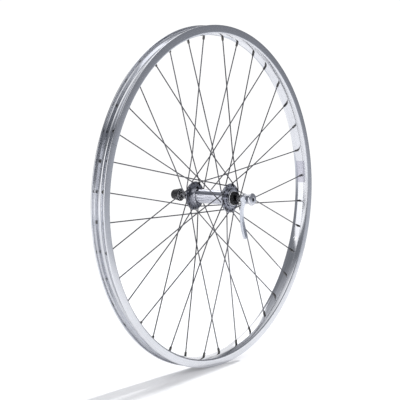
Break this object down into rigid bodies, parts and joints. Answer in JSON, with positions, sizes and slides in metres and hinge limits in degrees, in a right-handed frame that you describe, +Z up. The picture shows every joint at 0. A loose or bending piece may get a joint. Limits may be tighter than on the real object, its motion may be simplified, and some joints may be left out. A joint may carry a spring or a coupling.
{
  "type": "bicycle front wheel",
  "caption": "Spoked bicycle front wheel with an alloy rim, no tyre, and a hub on a quick-release skewer with a cam lever and a black nut.",
  "frame": {"origin": "centre of the wheel, on the axle axis and midway between the rim sidewalls", "axes": "+Y along the axle towards the quick-release lever, +Z up, X horizontal in the plane of the wheel"},
  "size_m": [0.571, 0.1672, 0.571],
  "materials": {
    "rim_alloy": "polished",
    "hub_alloy": "polished",
    "axle_steel": "machined",
    "dark_steel": "black oxide",
    "boot_rubber": "matt",
    "cap_steel": "plated",
    "bearing_steel": "ground",
    "rod_steel": "zinc plated",
    "nut_black": "satin black",
    "qr_chrome": "polished",
    "lever_alloy": "satin",
    "spoke_steel": "drawn",
    "nipple_nickel": "nickel plated"
  },
  "bodies": {
    "axle_group": {"axle": "axle_steel", "bearing_cone_left": "bearing_steel", "bearing_cone_right": "bearing_steel", "lock_washer_left": "bearing_steel", "lock_washer_right": "bearing_steel", "locknut_left": "dark_steel", "locknut_right": "dark_steel", "rubber_boot_left": "boot_rubber", "rubber_boot_right": "boot_rubber"},
    "wheel": {"rim": "rim_alloy", "spokes_right_outer": "spoke_steel", "spokes_right_inner": "spoke_steel", "spokes_left_inner": "spoke_steel", "spokes_left_outer": "spoke_steel", "nipples_left": "nipple_nickel", "nipples_right": "nipple_nickel", "hub_shell": "hub_alloy", "bearing_cup_left": "bearing_steel", "bearing_cup_right": "bearing_steel", "dust_cap_left": "cap_steel", "dust_cap_right": "cap_steel"},
    "ball_set_left": {"balls_left": "bearing_steel"},
    "ball_set_right": {"balls_right": "bearing_steel"},
    "cam_body": {"cam_housing": "qr_chrome", "clamp_bite_ring": "rod_steel", "end_cap": "qr_chrome", "spring_right": "rod_steel"},
    "lever_arm": {"lever": "lever_alloy", "cam_pin": "axle_steel"},
    "skewer": {"skewer_rod": "rod_steel", "spring_left": "rod_steel"},
    "nut_ring": {"nut_bite_ring": "rod_steel"},
    "nut": {"skewer_nut": "nut_black"}
  },
  "joints": [
    {"name": "wheel_spin", "type": "hinge", "parent": "axle_group", "child": "wheel", "pos_m": [0, 0, 0], "axis": [0, 1, 0], "continuous": true},
    {"name": "balls_left_roll", "type": "hinge", "parent": "axle_group", "child": "ball_set_left", "pos_m": [0, 0, 0], "axis": [0, 1, 0], "continuous": true},
    {"name": "balls_right_roll", "type": "hinge", "parent": "axle_group", "child": "ball_set_right", "pos_m": [0, 0, 0], "axis": [0, 1, 0], "continuous": true},
    {"name": "skewer_shift", "type": "slide", "parent": "axle_group", "child": "cam_body", "axis": [0, 1, 0], "range_m": [-0.0039, 0.0039], "stiffness_N_per_m": 400, "deforming": ["spring_right", "spring_left"]},
    {"name": "lever_swing", "type": "hinge", "parent": "cam_body", "child": "lever_arm", "pos_m": [0, 0.073, 0], "axis": [1, 0, 0], "range_deg": [0, 180.02]},
    {"name": "cam_throw", "type": "slide", "parent": "cam_body", "child": "skewer", "axis": [0, 1, 0], "range_m": [-0.003, 0]},
    {"name": "nut_travel", "type": "slide", "parent": "skewer", "child": "nut_ring", "axis": [0, -1, 0], "range_m": [0, 0.0032]},
    {"name": "nut_turn", "type": "hinge", "parent": "nut_ring", "child": "nut", "pos_m": [0, -0.074, 0], "axis": [0, -1, 0], "range_deg": [0, 1440.1]}
  ],
  "couplings": [
    {"joint": "balls_left_roll", "follows": "wheel_spin", "ratio": 0.5979},
    {"joint": "balls_right_roll", "follows": "wheel_spin", "ratio": 0.5979},
    {"joint": "lever_swing", "follows": "cam_throw", "rad_per_m": -1047.2},
    {"joint": "nut_turn", "follows": "nut_travel", "rad_per_m": 7854}
  ]
}
